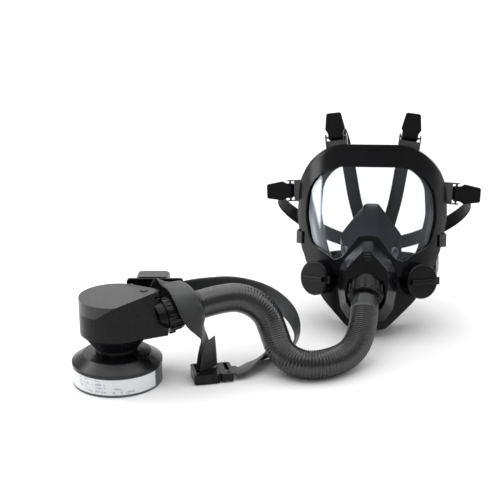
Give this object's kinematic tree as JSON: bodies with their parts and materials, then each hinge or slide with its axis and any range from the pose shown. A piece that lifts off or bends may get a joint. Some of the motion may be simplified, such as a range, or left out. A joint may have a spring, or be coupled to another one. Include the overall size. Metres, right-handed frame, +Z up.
{
  "type": "powered full face respirator",
  "caption": "Full face mask with visor, valve caps and head straps, joined by a breathing hose to a belt blower standing on its disc filter, with a waist belt.",
  "frame": {"origin": "on the floor, in the middle of the extents of everything but the hose", "axes": "+Z up; the mask and the blower's round front face -Y; +X runs from blower to mask"},
  "size_m": [0.5371, 0.3644, 0.2897],
  "materials": {
    "visor": "clear gloss",
    "frame_plastic": "satin",
    "steel": "brushed",
    "seal_rubber": "satin",
    "aluminium": "satin",
    "black_plastic": "satin",
    "valve_rubber": "matte",
    "cuff_rubber": "satin",
    "strap_rubber": "satin",
    "tab_plastic": "satin",
    "valve_plastic": "satin",
    "cup_silicone": "translucent satin",
    "cover_plastic": "satin",
    "case_plastic": "satin",
    "impeller_plastic": "matte",
    "circuit_board": "gloss",
    "button_rubber": "matte",
    "filter_grey": "matte",
    "filter_black": "satin",
    "filter_paper": "matte",
    "label_paper": "matte",
    "hose_rubber": "satin",
    "webbing": "woven"
  },
  "bodies": {
    "respirator": {"belt_long": "webbing", "belt_plate": "black_plastic", "belt_short": "webbing", "blower_cover": "cover_plastic", "blower_housing": "case_plastic", "buckle_female": "black_plastic", "buckle_frames_lower": "steel", "buckle_frames_side": "steel", "buckle_frames_top": "steel", "buckle_male": "black_plastic", "control_board": "circuit_board", "cup_valve_left": "valve_rubber", "cup_valve_right": "valve_rubber", "exhale_seat_left": "valve_plastic", "exhale_seat_right": "valve_plastic", "face_seal": "seal_rubber", "frame_screws": "steel", "front_housing": "frame_plastic", "harness_pad": "strap_rubber", "hose_cuff_blower": "cuff_rubber", "hose_cuff_mask": "cuff_rubber", "hose_inlet": "black_plastic", "hose_tube": "hose_rubber", "lens": "visor", "lens_frame_lower": "frame_plastic", "lens_frame_upper": "frame_plastic", "motor": "aluminium", "motor_screws": "steel", "neck_gasket": "seal_rubber", "nose_cup": "cup_silicone", "speech_diaphragm": "aluminium", "strap_lower_left": "strap_rubber", "strap_lower_right": "strap_rubber", "strap_side_left": "strap_rubber", "strap_side_right": "strap_rubber", "strap_top_left": "strap_rubber", "strap_top_right": "strap_rubber"},
    "tab_top_left": {"buckle_tab_top_left": "tab_plastic"},
    "tab_top_right": {"buckle_tab_top_right": "tab_plastic"},
    "tab_side_left": {"buckle_tab_side_left": "tab_plastic"},
    "tab_side_right": {"buckle_tab_side_right": "tab_plastic"},
    "tab_lower_left": {"buckle_tab_lower_left": "tab_plastic"},
    "tab_lower_right": {"buckle_tab_lower_right": "tab_plastic"},
    "cap_left": {"exhale_cap_left": "valve_plastic"},
    "exhale_disc_left": {"exhale_disc_left": "valve_rubber"},
    "cap_right": {"exhale_cap_right": "valve_plastic"},
    "exhale_disc_right": {"exhale_disc_right": "valve_rubber"},
    "inlet_disc": {"inlet_valve_disc": "valve_rubber"},
    "hose_nut": {"hose_nut": "black_plastic"},
    "outlet_collar": {"outlet_collar": "black_plastic"},
    "impeller": {"impeller": "impeller_plastic"},
    "power_button": {"power_button": "button_rubber"},
    "filter": {"filter_canister": "filter_grey", "filter_lid": "filter_black", "filter_media": "filter_paper", "filter_label": "label_paper"},
    "battery": {"battery_pack": "cover_plastic"},
    "battery_latch": {"battery_latch": "black_plastic"},
    "prong_front": {"buckle_prong_front": "black_plastic"},
    "prong_back": {"buckle_prong_back": "black_plastic"}
  },
  "joints": [
    {"name": "tab_top_left_swing", "type": "hinge", "parent": "respirator", "child": "tab_top_left", "pos_m": [0.07028, 0.11837, 0.25354], "axis": [0.9796, -0.1421, 0.1419], "range_deg": [0, 70]},
    {"name": "tab_top_right_swing", "type": "hinge", "parent": "respirator", "child": "tab_top_right", "pos_m": [0.1707, 0.10123, 0.25615], "axis": [0.9772, -0.192, -0.0911], "range_deg": [0, 70]},
    {"name": "tab_side_left_swing", "type": "hinge", "parent": "respirator", "child": "tab_side_left", "pos_m": [0.00843, 0.12473, 0.17475], "axis": [-0.0389, 0.2174, 0.9753], "range_deg": [0, 70]},
    {"name": "tab_side_right_swing", "type": "hinge", "parent": "respirator", "child": "tab_side_right", "pos_m": [0.23505, 0.08604, 0.18064], "axis": [-0.0595, -0.2006, -0.9779], "range_deg": [0, 70]},
    {"name": "tab_lower_left_swing", "type": "hinge", "parent": "respirator", "child": "tab_lower_left", "pos_m": [0.04075, 0.13237, 0.06355], "axis": [0.0032, 0.1116, 0.9937], "range_deg": [0, 70]},
    {"name": "tab_lower_right_swing", "type": "hinge", "parent": "respirator", "child": "tab_lower_right", "pos_m": [0.21274, 0.10301, 0.06802], "axis": [0.0162, -0.115, -0.9932], "range_deg": [0, 70]},
    {"name": "cap_left_turn", "type": "hinge", "parent": "respirator", "child": "cap_left", "pos_m": [0.04253, 0.04009, 0.07428], "axis": [-0.6791, -0.7163, 0.1604], "range_deg": [0, 30]},
    {"name": "exhale_disc_left_lift", "type": "slide", "parent": "respirator", "child": "exhale_disc_left", "axis": [-0.6791, -0.7163, 0.1604], "range_m": [0, 0.0015], "stiffness_N_per_m": 20},
    {"name": "cap_right_turn", "type": "hinge", "parent": "respirator", "child": "cap_right", "pos_m": [0.17993, 0.01664, 0.07785], "axis": [0.3942, -0.8995, 0.1883], "range_deg": [0, 30]},
    {"name": "exhale_disc_right_lift", "type": "slide", "parent": "respirator", "child": "exhale_disc_right", "axis": [0.3942, -0.8995, 0.1883], "range_m": [0, 0.0015], "stiffness_N_per_m": 20},
    {"name": "inlet_disc_lift", "type": "slide", "parent": "respirator", "child": "inlet_disc", "axis": [0.1274, 0.8291, 0.5444], "range_m": [0, 0.0015], "stiffness_N_per_m": 20},
    {"name": "hose_nut_turn", "type": "hinge", "parent": "respirator", "child": "hose_nut", "pos_m": [0.10481, -0.0096, 0.07354], "axis": [-0.1274, -0.8291, -0.5444], "range_deg": [0, 540]},
    {"name": "outlet_collar_turn", "type": "hinge", "parent": "respirator", "child": "outlet_collar", "pos_m": [-0.14555, -0.11934, 0.08417], "axis": [0.8975, 0.4185, 0.1392], "range_deg": [0, 30]},
    {"name": "impeller_spin", "type": "hinge", "parent": "respirator", "child": "impeller", "pos_m": [-0.21275, -0.1264, 0.078], "axis": [0, 0, 1], "continuous": true},
    {"name": "power_button_press", "type": "slide", "parent": "respirator", "child": "power_button", "axis": [0, 0, -1], "range_m": [0, 0.001], "stiffness_N_per_m": 800},
    {"name": "filter_unscrew", "type": "hinge", "parent": "respirator", "child": "filter", "pos_m": [-0.21275, -0.1264, 0.02], "axis": [0, 0, -1], "range_deg": [0, 900]},
    {"name": "battery_slide", "type": "slide", "parent": "respirator", "child": "battery", "axis": [0, 0, 1], "range_m": [0, 0.06]},
    {"name": "battery_latch_press", "type": "slide", "parent": "battery", "child": "battery_latch", "axis": [-1, 0, 0], "range_m": [0, 0.0012], "stiffness_N_per_m": 800},
    {"name": "prong_front_squeeze", "type": "hinge", "parent": "respirator", "child": "prong_front", "pos_m": [-0.08596, -0.13284, 0.007], "axis": [0, 0, -1], "range_deg": [0, 7.5], "stiffness_Nm_per_rad": 0.5},
    {"name": "prong_back_squeeze", "type": "hinge", "parent": "respirator", "child": "prong_back", "pos_m": [-0.09033, -0.1123, 0.007], "axis": [0, 0, 1], "range_deg": [0, 7.5], "stiffness_Nm_per_rad": 0.5}
  ],
  "couplings": [
    {"joint": "prong_back_squeeze", "follows": "prong_front_squeeze", "ratio": 1}
  ]
}
